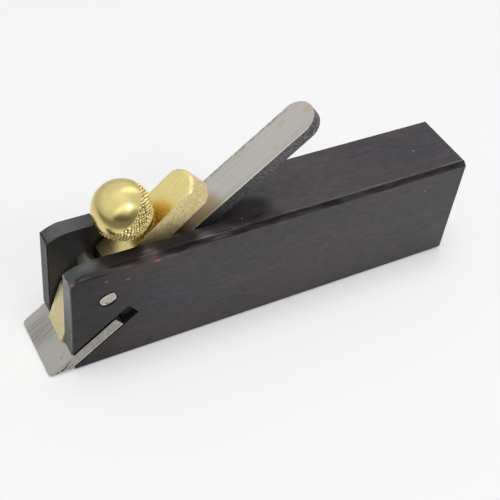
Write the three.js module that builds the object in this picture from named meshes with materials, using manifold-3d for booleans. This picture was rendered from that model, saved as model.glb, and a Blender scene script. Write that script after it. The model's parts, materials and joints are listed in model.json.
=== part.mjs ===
// Finger plane: a small ebony block with a T-shaped iron in a through slot, a brass lever cap
// hooked under a steel cross pin, and a ball-headed thumbscrew that tightens it on the iron.
// Millimetres, +Z up. The sole lies on Z = 0, the cutting end points to -X, the cap's ball
// leans over the front, and Y = 0 is the centre plane. X = 0 is the middle of the footprint.
import * as THREE from 'three';
import { mergeVertices } from 'three/addons/utils/BufferGeometryUtils.js';
import Module from 'manifold-3d';

const wasm = await Module();
wasm.setup();

// Body: the ebony block
const bodyLength = 100;
const bodyWidth = 17.2;
const bodyHeight = 28;
const nearChamfer = 1.0;
const farChamfer = 0.2;
const heelChamfer = 0.15;
const browRadius = 10.6;
const browReach = 6.0;
const toeSetback = 0.7;
const throatWidth = 9.2;

// Bed: the slope that carries the iron, and the slot cut across both cheeks
const bedAngle = THREE.MathUtils.degToRad(38.5);
const slotHeight = 3.85;
const slotLength = 19.7;

// Iron: a wide cutting end and a narrow shank with a round tail
const ironThickness = 3.0;
const ironInset = 0.1;
const ironLength = 80.3;
const ironWideLength = 19.3;
const shankClearance = 0.4;
const edgeCornerRadius = 0.8;
const edgeAboveSole = 0.1;
const edgeLand = 0.05;
const bevelAngle = THREE.MathUtils.degToRad(35);

// Lever cap: a brass bar with a bevelled nose, a groove for the pin and a rounded tail
const capClearance = 0.65;
const capThickness = 5.75;
const capTilt = THREE.MathUtils.degToRad(4.4);
const noseAlongBed = 2.4;
const noseLand = 0.45;
const noseBevel = THREE.MathUtils.degToRad(30);
const grooveRadius = 4.0;
const webUnderPin = 2.95;
const tailBeyondScrew = 14.5;
const capTailRadius = 4.8;
const capTailRound = 1.0;

// Cross pin: a steel rod through both cheeks
const pinRadius = 1.95;
const pinAlongCap = 16.5;

// Thumbscrew: a ball head on a threaded stud
const ballRadius = 6.45;
const ballAboveBlock = 0.56;
const ballAboveCap = 6.47;
const ballFootDepth = 5.8;
const knurlTop = 1.6;
const knurlBottom = 4.8;
const knurlHeight = 0.2;
const studRadius = 2.0;
const studPitch = 0.7;
const threadDepth = 0.35;
const studInHead = 5.0;
const studTipLength = 1.0;
const studTipRadius = 1.4;

// Clearances between the pieces, and how far a cutter runs past what it cuts
const seatGap = 0.28;
const pinClearance = 0.1;
const pinSeatGap = 0.15;
const studClearance = 0.2;
const headClearance = 0.12;
const tipGap = 0.25;
const overrun = 5;

// Facets: how many steps round each kind of curve
const pinSides = 40;
const studSides = 20;
const tailSides = 64;
const knurlColumns = 96;
const knurlRows = 16;
const ballSteps = 9;
const arcSteps = 16;
const roundSteps = 4;

// Colours, roughness and metalness of the four materials
const ebony = { color: 0x3a3537, roughness: 0.45, metalness: 0.0 };
const groundSteel = { color: 0xb0aca6, roughness: 0.38, metalness: 1.0 };
const pinSteel = { color: 0xc2bdb6, roughness: 0.35, metalness: 1.0 };
const capBrass = { color: 0xcdb468, roughness: 0.3, metalness: 1.0 };
const polishedBrass = { color: 0xd6bd62, roughness: 0.16, metalness: 1.0 };

// A named mesh with its own material
function piece(name, geometry, finish) {
  geometry.computeVertexNormals();
  const mesh = new THREE.Mesh(geometry, new THREE.MeshStandardMaterial(finish));
  mesh.name = name;
  return mesh;
}

// A closed geometry as a solid that can be cut and joined
function solidOf(geometry) {
  const bare = geometry.clone();
  bare.deleteAttribute('normal');
  bare.deleteAttribute('uv');
  const merged = mergeVertices(bare);
  const vertProperties = Float32Array.from(merged.attributes.position.array);
  const triVerts = Uint32Array.from(merged.index.array);
  return new wasm.Manifold(new wasm.Mesh({ numProp: 3, vertProperties, triVerts }));
}

// A solid as a geometry again
function geometryOf(solid) {
  const mesh = solid.getMesh();
  const geometry = new THREE.BufferGeometry();
  geometry.setAttribute('position', new THREE.BufferAttribute(mesh.vertProperties, 3));
  geometry.setIndex(new THREE.BufferAttribute(mesh.triVerts, 1));
  return geometry;
}

// An outline as a shape
function outline(points) {
  return new THREE.Shape(points.map(([x, y]) => new THREE.Vector2(x, y)));
}

// Points along an arc, from one angle to another
function arc(centreX, centreY, radius, from, to, steps = arcSteps) {
  const points = [];
  for (let i = 0; i <= steps; i++) {
    const angle = from + ((to - from) * i) / steps;
    points.push([centreX + radius * Math.cos(angle), centreY + radius * Math.sin(angle)]);
  }
  return points;
}

// A side outline in X and Z, pulled out across Y and centred on Y = 0
function acrossY(points, width) {
  const geometry = new THREE.ExtrudeGeometry(outline(points), { depth: width, bevelEnabled: false });
  geometry.rotateX(Math.PI / 2);
  geometry.translate(0, width / 2, 0);
  return geometry;
}

// A cross-section in Y and Z, pulled out along X from X = 0
function alongX(points, length) {
  const geometry = new THREE.ExtrudeGeometry(outline(points), { depth: length, bevelEnabled: false });
  geometry.rotateX(Math.PI / 2);
  geometry.rotateZ(Math.PI / 2);
  return geometry;
}

// A plan outline in X and Y, pulled up along Z from a given height
function upZ(points, height, base) {
  const geometry = new THREE.ExtrudeGeometry(outline(points), { depth: height, bevelEnabled: false });
  geometry.translate(0, 0, base);
  return geometry;
}

// A box from its lowest corner to its highest
function boxBetween([x0, y0, z0], [x1, y1, z1]) {
  const geometry = new THREE.BoxGeometry(x1 - x0, y1 - y0, z1 - z0);
  geometry.translate((x0 + x1) / 2, (y0 + y1) / 2, (z0 + z1) / 2);
  return geometry;
}

// A round bar across Y with its axis at X, Z
function rodAcrossY(x, z, radius, length) {
  const geometry = new THREE.CylinderGeometry(radius, radius, length, pinSides);
  geometry.translate(x, 0, z);
  return geometry;
}

// A turned geometry from its profile of radius and height, with its axis along Z
function turned(profile, sides) {
  const geometry = new THREE.LatheGeometry(
    profile.map(([radius, height]) => new THREE.Vector2(radius, height)),
    sides,
  );
  geometry.rotateX(Math.PI / 2);
  return geometry;
}

// Frames: the bed's X runs up the slope, the cap's X runs from its nose to its tail
const ironTop = seatGap + ironThickness;
const bedFrame = new THREE.Matrix4().makeRotationY(-bedAngle);
const capInBed = new THREE.Matrix4()
  .makeTranslation(noseAlongBed, 0, ironTop + seatGap)
  .multiply(new THREE.Matrix4().makeRotationY(-capTilt));
const capFrame = bedFrame.clone().multiply(capInBed);

// The screw stands where the ball just clears the block's top, and the cap runs on past it
const ballHeight = capThickness + ballAboveCap;
const capFoot = new THREE.Vector3().applyMatrix4(capFrame);
const capSlope = bedAngle + capTilt;
const ballRise = bodyHeight + ballAboveBlock + ballRadius - capFoot.z;
const screwAlongCap = (ballRise - ballHeight * Math.cos(capSlope)) / Math.sin(capSlope);
const capLength = screwAlongCap + tailBeyondScrew;

// The iron is as wide as the block, and its shank and the cap run between the cheeks
const ironWidth = bodyWidth - 2 * ironInset;
const shankWidth = throatWidth - 2 * shankClearance;
const capWidth = throatWidth - 2 * capClearance;

// The pin lies in the cap's groove, so its place in the body comes from the cap
const pinAboveCap = webUnderPin + pinSeatGap + pinRadius;
const pinCentre = new THREE.Vector3(pinAlongCap, 0, pinAboveCap).applyMatrix4(capFrame);

// The cutting edge lies just above the sole, on the iron's upper face
const edgeAlongBed =
  (edgeAboveSole - ironTop * Math.cos(bedAngle)) / Math.sin(bedAngle);
const edgeCentre = new THREE.Vector3(edgeAlongBed, 0, ironTop).applyMatrix4(bedFrame);

// Ebony body: the block with its eased top edges and its brow, less the throat, the slot and
// the pin's hole
function makeBody() {
  const half = bodyWidth / 2;
  const section = [
    [-half, 0],
    [half, 0],
    [half, bodyHeight - farChamfer],
    [half - farChamfer, bodyHeight],
    [-half + nearChamfer, bodyHeight],
    [-half, bodyHeight - nearChamfer],
  ];
  const browEnd = Math.acos(-browReach / browRadius);
  const toeStep = slotHeight / 2 / Math.cos(bedAngle);
  const side = [
    [toeSetback, 0],
    [bodyLength - heelChamfer, 0],
    [bodyLength, heelChamfer],
    [bodyLength, bodyHeight - heelChamfer],
    [bodyLength - heelChamfer, bodyHeight],
    ...arc(browReach, bodyHeight - browRadius, browRadius, Math.PI / 2, browEnd),
    [0, toeStep],
    [toeSetback, toeStep],
  ];
  const block = solidOf(alongX(section, bodyLength)).intersect(
    solidOf(acrossY(side, bodyWidth + overrun)),
  );

  const bedLength = bodyHeight / Math.sin(bedAngle);
  const throat = boxBetween(
    [-overrun, -throatWidth / 2, 0],
    [bedLength + overrun, throatWidth / 2, bodyHeight + overrun],
  );
  const slot = boxBetween([-overrun, -half - overrun, 0], [slotLength, half + overrun, slotHeight]);
  throat.applyMatrix4(bedFrame);
  slot.applyMatrix4(bedFrame);
  const hole = rodAcrossY(pinCentre.x, pinCentre.z, pinRadius + pinClearance, bodyWidth + overrun);

  return geometryOf(
    block.subtract(solidOf(throat)).subtract(solidOf(slot)).subtract(solidOf(hole)),
  );
}

// Iron, in the bed's frame: the T outline with a bevel ground under its cutting edge
function makeIron() {
  const wide = ironWidth / 2;
  const narrow = shankWidth / 2;
  const corner = edgeCornerRadius;
  const front = edgeAlongBed;
  const shoulder = front + ironWideLength;
  const tailCentre = front + ironLength - narrow;
  const plan = [
    ...arc(front + corner, -wide + corner, corner, Math.PI, Math.PI * 1.5),
    [shoulder, -wide],
    [shoulder, -narrow],
    ...arc(tailCentre, 0, narrow, -Math.PI / 2, Math.PI / 2),
    [shoulder, narrow],
    [shoulder, wide],
    ...arc(front + corner, wide - corner, corner, Math.PI / 2, Math.PI),
  ];
  const blank = upZ(plan, ironThickness, seatGap);
  const slope = Math.tan(bevelAngle);
  const landFoot = ironTop - edgeLand;
  const underEdge = [
    [front - overrun, landFoot + overrun * slope],
    [front - overrun, -overrun],
    [front + (landFoot + overrun) / slope, -overrun],
  ];
  return geometryOf(solidOf(blank).subtract(solidOf(acrossY(underEdge, ironWidth + overrun))));
}

// Lever cap, in its own frame: the bar with a round tail, eased on top, less the pin's groove
// and the stud's hole
function makeCap() {
  const bevelRun = (capThickness - noseLand) / Math.tan(noseBevel);
  const side = [
    [0, 0],
    [capLength, 0],
    [capLength, capThickness],
    [bevelRun, capThickness],
    [0, noseLand],
  ];
  const tailCentre = capLength - capTailRadius;
  const shoulderHeight = capThickness - capTailRound;
  const easedInside = capTailRadius - capTailRound;
  const tailProfile = [
    [0, -overrun],
    [capTailRadius, -overrun],
    ...arc(easedInside, shoulderHeight, capTailRound, 0, Math.PI / 2, roundSteps),
    [0, capThickness],
  ];
  const tailDisc = turned(tailProfile, tailSides);
  tailDisc.translate(tailCentre, 0, 0);
  const frontBox = boxBetween([0, -capWidth, -overrun], [tailCentre, capWidth, capThickness + overrun]);
  const grooveCentre = webUnderPin + grooveRadius;
  const groove = [
    ...arc(pinAlongCap, grooveCentre, grooveRadius, Math.PI, Math.PI * 2),
    [pinAlongCap + grooveRadius, grooveCentre + capThickness],
    [pinAlongCap - grooveRadius, grooveCentre + capThickness],
  ];
  const hole = new THREE.CylinderGeometry(
    studRadius + studClearance,
    studRadius + studClearance,
    capThickness + overrun,
    studSides,
  );
  hole.rotateX(Math.PI / 2);
  hole.translate(screwAlongCap, 0, capThickness / 2);

  const bar = solidOf(acrossY(side, capWidth)).intersect(solidOf(frontBox).add(solidOf(tailDisc)));
  return geometryOf(bar.subtract(solidOf(acrossY(groove, capWidth + overrun))).subtract(solidOf(hole)));
}

// Ball head, centred on its own middle: a smooth dome over a diamond-knurled band,
// a flat foot and a blind hole for the stud
function makeBallHead() {
  const onBall = (height) => Math.sqrt(ballRadius ** 2 - height ** 2);
  const holeRadius = studRadius + headClearance;
  const holeTop = studInHead + headClearance - ballFootDepth;
  const profile = [[0, holeTop], [holeRadius, holeTop], [holeRadius, -ballFootDepth]];
  profile.push([onBall(ballFootDepth), -ballFootDepth]);
  const knurlFirst = profile.length;
  for (let row = 0; row <= knurlRows; row++) {
    const height = -knurlBottom + ((knurlBottom + knurlTop) * row) / knurlRows;
    profile.push([onBall(height), height]);
  }
  const domeStart = Math.asin(knurlTop / ballRadius);
  for (let step = 1; step <= ballSteps; step++) {
    const angle = domeStart + ((Math.PI / 2 - domeStart) * step) / ballSteps;
    profile.push([step === ballSteps ? 0 : ballRadius * Math.cos(angle), ballRadius * Math.sin(angle)]);
  }
  const geometry = turned(profile, knurlColumns);
  const position = geometry.attributes.position;
  const point = new THREE.Vector3();
  for (let column = 0; column <= knurlColumns; column++) {
    for (let row = 1; row < knurlRows; row++) {
      if ((column + row) % 2 === 1) continue;
      const index = column * profile.length + knurlFirst + row;
      point.fromBufferAttribute(position, index);
      point.setLength(point.length() + knurlHeight);
      position.setXYZ(index, point.x, point.y, point.z);
    }
  }
  return geometryOf(solidOf(geometry));
}

// Stud, from its tip upward: a plain round tip under a ringed thread
function makeStud(length) {
  const profile = [[0, 0], [studTipRadius, 0], [studTipRadius, studTipLength]];
  const rootRadius = studRadius - threadDepth;
  const turns = Math.floor((length - studTipLength) / studPitch);
  for (let turn = 0; turn < turns; turn++) {
    const foot = studTipLength + turn * studPitch;
    profile.push([rootRadius, foot], [studRadius, foot + studPitch / 2]);
  }
  profile.push([rootRadius, studTipLength + turns * studPitch]);
  profile.push([rootRadius, length], [0, length]);
  return geometryOf(solidOf(turned(profile, studSides)));
}

// Assembly
const cap = piece('lever_cap', makeCap(), capBrass);
const screwGroup = new THREE.Group();
screwGroup.position.set(screwAlongCap, 0, 0);
const ball = piece('thumbscrew_head', makeBallHead(), polishedBrass);
ball.position.z = ballHeight;
const ironUnderScrew = -(screwAlongCap * Math.tan(capTilt) + seatGap / Math.cos(capTilt));
const tipHeight = ironUnderScrew + tipGap + studTipRadius * Math.tan(capTilt);
const studTop = ballHeight - ballFootDepth + studInHead;
const stud = piece('thumbscrew_stud', makeStud(studTop - tipHeight), pinSteel);
stud.position.z = tipHeight;
screwGroup.add(ball, stud);

const capGroup = new THREE.Group();
capInBed.decompose(capGroup.position, capGroup.quaternion, capGroup.scale);
capGroup.add(cap, screwGroup);

const bedGroup = new THREE.Group();
bedGroup.rotation.y = -bedAngle;
bedGroup.add(piece('iron', makeIron(), groundSteel), capGroup);

const pin = piece('cross_pin', rodAcrossY(0, 0, pinRadius, bodyWidth), pinSteel);
pin.position.copy(pinCentre);

const fingerPlane = new THREE.Group();
fingerPlane.name = 'finger_plane';
fingerPlane.position.x = -(edgeCentre.x + bodyLength) / 2;
fingerPlane.add(piece('body', makeBody(), ebony), pin, bedGroup);

export default fingerPlane;
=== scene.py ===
# Looks of the finger plane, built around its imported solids. Metres, in the row's own frame: the sole
# lies on Z = 0, the cutting edge points to -X, the heel to +X, and Y = 0 is the centre plane.
import json
import math
import random

import bmesh
import bpy
from mathutils import Matrix, Vector
from mathutils.noise import noise_vector, seed_set


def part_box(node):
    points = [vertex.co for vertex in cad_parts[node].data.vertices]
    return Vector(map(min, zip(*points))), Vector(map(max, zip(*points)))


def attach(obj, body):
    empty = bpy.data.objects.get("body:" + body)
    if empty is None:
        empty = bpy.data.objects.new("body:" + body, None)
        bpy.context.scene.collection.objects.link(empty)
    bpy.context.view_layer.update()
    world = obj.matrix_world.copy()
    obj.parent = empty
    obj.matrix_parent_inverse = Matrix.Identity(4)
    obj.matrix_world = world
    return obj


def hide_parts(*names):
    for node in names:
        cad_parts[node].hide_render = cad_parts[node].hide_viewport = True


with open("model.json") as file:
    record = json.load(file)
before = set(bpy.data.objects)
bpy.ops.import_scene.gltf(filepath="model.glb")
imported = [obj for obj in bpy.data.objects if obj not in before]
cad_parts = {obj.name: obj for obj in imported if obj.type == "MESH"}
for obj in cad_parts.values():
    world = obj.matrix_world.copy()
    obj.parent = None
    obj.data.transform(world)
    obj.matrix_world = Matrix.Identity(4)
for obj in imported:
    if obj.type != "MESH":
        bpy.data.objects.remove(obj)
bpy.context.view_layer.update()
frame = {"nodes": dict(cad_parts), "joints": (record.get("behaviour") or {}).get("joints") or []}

MM = 0.001
SEED = 11

# Camera: where it stood, how it looked down, its lean, its lens and how near and far it sees
CAMERA_PLACE = Vector((-93.85, -137.83, 174.81)) * MM
VIEW_AZIMUTH = math.radians(-34.30)
VIEW_ELEVATION = math.radians(44.53)
VIEW_ROLL = math.radians(8.34)
LENS = 71.88
SENSOR = 36.0
CLIP_START = 0.01
CLIP_END = 10

# Lamp: a small soft key
KEY_DIRECTION = Vector((0.17, -0.68, 0.715))
KEY_DISTANCE = 0.7
KEY_SIZE = 0.17
KEY_WATTS = 0.5

# Floor and backdrop: the floor glows a little, so that the object's shadow on it stays faint
FLOOR_HALF = 1.5
FLOOR_DEPTH = 0.4 * MM
FLOOR_LIT = (0.84, 0.84, 0.818)
FLOOR_GLOW = (0.187, 0.186, 0.206)
FLOOR_ROUGHNESS = 0.9
BACKDROP = 0.9

# What polished metal shows of the floor: it is lost on the dark side of the room and far from the ball
DARK_SIDE = Vector((-0.6, -0.8, 0))
SHOWN_REACH = (55 * MM, 95 * MM)
SHOWN_LOSS = 0.75
FADE_REACH = (30 * MM, 220 * MM)
FADE_LOSS = 0.32

# Light of the room by height, as ranges: what metal shows, then the wide and the overhead fill
ROOM_LIGHT = (0.0, 0.55, 0.62, 0.88)
WIDE_FILL = (0.1, 0.9, 0, 0.4)
OVERHEAD_FILL = (0.9, 0.99, 0, 5.0)

# Soft lights of the room: direction, reach by axis and how much brighter they are
ROOM_GLOWS = [
    ((0.56, 0.36, 0.70), (0.6, 0.25, 0.52), 0.8),
    ((-0.10, 0.38, 0.92), (0.55, 0.32, 0.3), 0.14),
    ((-0.08, -0.62, 0.66), (1.0, 0.17, 0.5), 0.6),
]

# Dark parts of the room, behind the camera: direction, reach by axis and how dark they are
ROOM_SHADES = [
    ((-0.38, -0.91, 0.05), (0.72, 0.60, 0.52), 0.82),
    ((0.42, -0.90, 0.25), (0.55, 0.35, 0.38), 0.6),
]

# Directions and places that the joints and the solids give
JOINTS = {joint["name"]: joint for joint in frame["joints"]}
SLOPE = Vector(JOINTS["iron_slide"]["axis"])
SCREW_AXIS = Vector(JOINTS["screw_turn"]["axis"])
BALL_CENTRE = Vector(JOINTS["screw_turn"]["pos_m"])
BODY_LOW, BODY_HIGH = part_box("body")
PIN_LOW, PIN_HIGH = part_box("cross_pin")
PIN_CENTRE = (PIN_LOW + PIN_HIGH) / 2
PIN_RADIUS = (PIN_HIGH.z - PIN_LOW.z) / 2
FRONT = BODY_LOW.x
NEAR_SIDE = BODY_LOW.y
FAR_SIDE = BODY_HIGH.y
TOP = BODY_HIGH.z

# Rounding of the worked edges
WOOD_EASE = 0.16 * MM
WOOD_BROAD_EASE = 0.55 * MM
STEEL_EASE = 0.1 * MM
BRASS_EASE = 0.22 * MM
EASE_STEPS = 3
BROAD_STEPS = 5
SHARP_EDGE = math.radians(24)
SMOOTH_BELOW = math.radians(40)
WELD_DISTANCE = 0.002 * MM
FLAT_BELOW = math.radians(0.4)

# Which edges of the wood are the near chamfer's or stay sharp, by how the faces beside them lean
CHAMFER_LEAN = (-0.85, -0.5)
CHAMFER_BESIDE = 0.1
SLOPING_LEAN = 0.99
ON_SOLE = 0.01 * MM
BELOW_TOP = 3 * MM

# Iron, measured up the slope: where the wide end stops, and where the cheeks begin to cover it
SHOULDER = 15.3 * MM
SCALE_START = SHOULDER + 1 * MM
COVER_START = 3.0 * MM
THROAT_HALF = 4.6 * MM
SHANK_HALF = 4.2 * MM
IRON_TOP = 3.28 * MM
IRON_SIDE_LEAN = 0.45
TICK_PITCH = 0.42 * MM
TICK_WANDER = 14
TICK_SHOWN = (0.0, 0.7)

# Cap: how far the faces of its flanks and its nose lean, and where the nose begins
FLANK_LEAN = 0.6
NOSE_LEAN = 0.3
NOSE_START = -4.2 * MM

# Ball head: a smooth dome over a band of uneven diamonds, crushed flat, with a ragged upper edge
BALL_RADIUS = 6.45 * MM
BALL_FOOT = 5.8 * MM
BALL_HOLE_TOP = -0.68 * MM
DOME_ROWS = 40
DOME_MARGIN = 0.001 * MM
KNURL_TOP = 2.0 * MM
KNURL_RAGGED = 0.75 * MM
KNURL_FADE = 0.25 * MM
KNURL_PROUD = 0.2 * MM
KNURL_DEPTH = 0.42 * MM
KNURL_COUNT = 44
KNURL_PITCH = 0.92 * MM
KNURL_DIVISIONS = 8
KNURL_FLAT = 0.8
KNURL_UNEVEN = 0.45
KNURL_WANDER = 0.3
KNURL_PATCH = 1.3 * MM

# Stud: a metric thread of 4 mm, its ridges cut off flat
STUD_RADIUS = 2.0 * MM
STUD_PITCH = 0.7 * MM
THREAD_DEPTH = 0.35 * MM
THREAD_CREST = 1.25
THREAD_ROWS = 8
STUD_TIP = 1.0 * MM
STUD_TIP_RADIUS = 1.4 * MM
STUD_TIP_EASE = 0.15 * MM
STUD_HOLE_GAP = 0.12 * MM
STUD_COLUMNS = 40

# Pin: its ends are bright in an oval only, leaning and a little off centre, with painted shade outside the
# oval
PIN_COLUMNS = 64
PIN_EASE = 0.18 * MM
PIN_OVAL_LEAN = math.radians(21)
PIN_OVAL_CENTRE = (0.03 * MM, -0.05 * MM)
PIN_OVAL_REACH = (1.87 * MM, 1.3 * MM)
PIN_OVAL_FULLNESS = 2.7
PIN_OVAL_RIM = (0.55, 0.75)
PIN_OVAL_OUTSIDE = (0.9, 1.05)
PIN_END_REACH = (PIN_HIGH.y - 0.4 * MM, PIN_HIGH.y - 0.3 * MM)

# Chips, specks and worn places on the wood, with some places of painted highlight, painted reflection,
# painted shade and painted light, in millimetres: place, reach and colour
WOOD_CHIPS_AND_PAINTED_LIGHT = [
    ((-28.2, -8.6, 26.52), (1.1, 0.7, 0.38), (0.36, 0.11, 0.055)),
    ((-25.4, -8.5, 26.65), (2.3, 0.6, 0.45), (0.085, 0.05, 0.042)),
    ((-39.5, -8.6, 24.65), (0.55, 0.4, 0.26), (0.2, 0.15, 0.15)),
    ((-34.75, -8.6, 23.5), (1.7, 0.4, 0.16), (0.06, 0.06, 0.056)),
    ((-34.7, -8.6, 23.5), (0.55, 0.4, 0.2), (0.2, 0.2, 0.18)),
    # A painted highlight on the near cheek's top
    ((-29.7, -6.6, 28.0), (1.5, 0.5, 0.3), (0.085, 0.075, 0.09)),
    # Painted shade on the near cheek's top beside the cap
    ((-23.0, -6.2, 28.0), (6.8, 4.2, 1.5), (0.015, 0.014, 0.015)),
    ((-23.4, -4.6, 28.0), (3.2, 0.5, 0.3), (0.05, 0.05, 0.05)),
    ((-45.9, -6.6, 26.9), (1.9, 2.4, 1.6), (0.014, 0.022, 0.022)),
    ((-42.6, -5.9, 28.0), (3.4, 1.3, 0.8), (0.042, 0.047, 0.044)),
    ((-46.9, -8.4, 26.5), (0.5, 0.5, 0.35), (0.22, 0.13, 0.125)),
    # A painted highlight along the near cheek's edge between the brow and the front face
    ((-47.4, -6.4, 26.1), (0.22, 2.3, 0.24), (0.3, 0.31, 0.29)),
    # Painted reflection: the near cheek's front face made lighter
    ((-47.4, -6.6, 15.0), (0.8, 3.2, 14.0), (0.034, 0.036, 0.033)),
    ((-42.0, 6.6, 28.0), (7.5, 3.2, 2.6), (0.055, 0.056, 0.057)),
    # Painted shade on the top under the iron's overhang
    ((-6.0, -3.2, 28.0), (9.5, 5.0, 1.5), (0.016, 0.012, 0.012)),
    ((-47.4, -8.45, 14.5), (0.35, 0.35, 11.0), (0.1, 0.102, 0.1)),
    # Painted light: the shaded end of the slot made lighter
    ((-35.0, -3.5, 13.5), (4.5, 5.0, 4.5), (0.6, 0.57, 0.57)),
    ((41.7, -8.6, 22.6), (0.22, 0.2, 0.2), (0.4, 0.38, 0.38)),
    ((42.8, 0.0, 28.0), (0.2, 0.2, 0.2), (0.35, 0.34, 0.34)),
    ((-6.8, -5.4, 28.0), (0.22, 0.22, 0.2), (0.15, 0.145, 0.15)),
]

# Duller and shinier places on the wood's top, in millimetres: place, reach and how the sheen is scaled
SHEEN_PATCHES = [
    ((-6.0, -3.2, 28.0), (9.5, 5.2, 1.5), 0.3),
    ((-1.5, -7.2, 28.0), (5.5, 2.4, 1.5), 0.45),
    ((-23.0, -6.3, 28.0), (6.5, 4.2, 1.5), 0.26),
    ((-35.5, -5.6, 28.0), (6.0, 3.8, 1.5), 0.3),
    ((-29.8, -7.6, 28.0), (3.0, 2.2, 1.5), 1.8),
    ((-13.5, -7.6, 28.0), (6.5, 2.2, 1.5), 1.9),
]

# Marks on the metal, in the frame of each piece and in millimetres: place, reach, colour and share.
# On the iron a pale lilac patch by the cap is painted light, and the cap's orange by the ball's foot is a
# painted reflection of the ball.
IRON_MARKS_AND_PAINTED_LIGHT = [
    ((75.2, -0.1, 3.28), (1.4, 1.2, 1.0), (0.5, 0.41, 0.32), 0.5),
    ((69.0, 1.7, 3.28), (1.6, 1.2, 1.0), (0.5, 0.41, 0.32), 0.45),
    ((64.9, -2.4, 3.28), (1.3, 1.0, 1.0), (0.48, 0.4, 0.33), 0.4),
    ((57.4, 3.1, 3.28), (2.0, 0.8, 1.0), (0.5, 0.42, 0.34), 0.4),
    # Painted light: a pale lilac patch that lightens the cap's yellow reflection in the iron
    ((43.8, -1.2, 3.28), (8.2, 6.5, 1.0), (0.64, 0.585, 0.66), 0.5),
    ((0.41, -6.81, 3.28), (0.35, 0.22, 0.3), (0.03, 0.028, 0.026), 0.95),
    ((0.85, -6.55, 3.28), (0.3, 0.14, 0.3), (0.05, 0.045, 0.04), 0.8),
    ((-1.0, 2.7, 3.28), (4.5, 3.6, 1.0), (0.26, 0.25, 0.235), 0.4),
]
SIDE_MARKS = [
    ((-2.35, -8.5, 2.3), (0.55, 0.6, 0.3), (0.015, 0.014, 0.013), 0.97),
    ((-1.25, -8.5, 1.95), (0.6, 0.6, 0.34), (0.015, 0.014, 0.013), 0.97),
    ((-0.45, -8.5, 1.9), (0.7, 0.6, 0.3), (0.03, 0.028, 0.026), 0.85),
    ((0.25, -8.5, 2.15), (0.65, 0.6, 0.26), (0.05, 0.047, 0.045), 0.85),
    ((1.2, -8.5, 2.5), (1.2, 0.6, 0.22), (0.12, 0.115, 0.11), 0.65),
    ((0.4, -8.5, 1.1), (1.1, 0.6, 0.3), (0.1, 0.095, 0.09), 0.5),
]
# Painted reflection of the ball on the cap's top, by the ball's foot
CAP_PAINTED_REFLECTION = [((19.5, -1.5, 1.3), (4.8, 4.2, 2.5), (0.92, 0.6, 0.17), 0.65)]
PIN_MARKS = [((-0.3, 1.22, -8.6), (0.45, 0.5, 0.4), (0.03, 0.026, 0.022), 0.95)]

# Where the toe's grinding lines show best, in the iron's frame and in millimetres: place and reach.
# They show by a quarter elsewhere.
TOE_COMB = ((-1, 2.8, 3.28), (9, 4.6, 2))
TOE_COMBED = (0, 1, 0.25, 1.0)

# How a soft spot fades: from its edge, in parts of its reach, to where it is full
SPOT_FADE = (1.0, 0.55)

# Noises of the wood: scale by axis, shift, detail, roughness and the range that each shows in, if any
WOOD_TINT = ((22, 120, 120), (3, 7, 1), 3, 0.55, (0.38, 0.62))
WOOD_WARM = ((40, 210, 210), (6, 2, 9), 4, 0.55, (0.54, 0.72))
WOOD_BROAD = ((34, 170, 170), (0, 0, 0), 4, 0.55, (0.5, 0.78))
WOOD_FINE = ((260, 2700, 2700), (0, 0, 0), 3, 0.7)
WOOD_STREAK = ((330, 2400, 2400), (0.3, 2, 5), 4, 0.7, (0.45, 0.62))
WOOD_SCUFFS = ((1500, 1500, 750), (7, 3, 1), 4, 0.7)
WOOD_WEAR = ((75, 75, 75), (1, 2, 3), 3, 0.55, (0.35, 0.6, 0.35, 1.0))
WOOD_DULL = ((170, 1200, 1200), (4, 4, 1), 4, 0.55, (0.35, 0.65, 0.06, 0.34))
WOOD_SHEEN = ((320, 1050, 1050), (2, 8, 5), 5, 0.7, (0.36, 0.64, 0.82, 1.15))
WOOD_PORES = ((500, 5200, 5200), (1, 4, 9), 2, 0.55, (0.3, 0.42, -0.6, 0.0))

# Noises of the metal, in the same order
STEEL_PATCHES = ((120, 260, 260), (2, 5, 1), 3, 0.55, (0.45, 0.8))
STEEL_RUST = ((230, 330, 330), (8, 1, 4), 3, 0.55, (0.62, 0.8))
TOE_CUTS = ((60, 7600, 7600), (5, 1, 2), 1, 0.55, (0.49, 0.57))
EDGE_SPECKS = ((900, 1600, 1600), (2, 2, 6), 3, 0.55, (0.42, 0.62))
TICK_DRIFT = ((330, 330, 330), (1, 5, 3), 2, 0.55)
TICK_FADE = ((700, 500, 700), (3, 1, 8), 2, 0.55, (0.35, 0.6, 0.25, 1.0))
SCALE_GRIT = ((2300, 2600, 1700), (0, 0, 0), 4, 0.75)
BRASS_SPOTS = ((2600, 2600, 2600), (4, 2, 7), 3, 0.7)
BALL_CLOUD = ((180, 180, 180), (0, 0, 0), 3, 0.55)
BALL_RINGS = ((90, 90, 5200), (0, 0, 0), 2, 0.55)
GRIME_SPLIT = ((1400, 1400, 1400), (0, 0, 0), 2, 0.55, (0.35, 0.62, 0.3, 1.0))

# Ground of the wood, which goes from one colour to the other
WOOD_GROUND = ((0.018, 0.0158, 0.0245), (0.034, 0.0235, 0.0245))

# Coats over the wood: a colour and, where it doesn't cover fully, its share. A layer of grain has its
# noise first.
GRAIN_LAYERS = [
    (WOOD_WARM, (0.058, 0.027, 0.028), 0.62),
    (WOOD_BROAD, (0.052, 0.038, 0.041), 0.6),
]
GRAIN_PALE = ((0.066, 0.052, 0.058), 0.38)
STREAK_RED = ((0.12, 0.034, 0.032), 0.6)
TOE_END_DARK = ((0.014, 0.014, 0.015), 0.6)
SCUFF_PALE = ((0.1, 0.104, 0.1), 0.7)
SCUFF_DARK = ((0.01, 0.01, 0.01), 0.6)
THROAT_GREY = ((0.05, 0.053, 0.062), 0.7)
# Painted shade on the near chamfer
CHAMFER_PAINTED_SHADE = ((0.004, 0.003, 0.004), 0.5)

# Between which values of a noise its pale or dark parts show
GRAIN_PALE_SHOWN = (0.5, 0.75)
SCUFF_PALE_SHOWN = (0.52, 0.72)
SCUFF_DARK_SHOWN = (0.46, 0.34)

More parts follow.
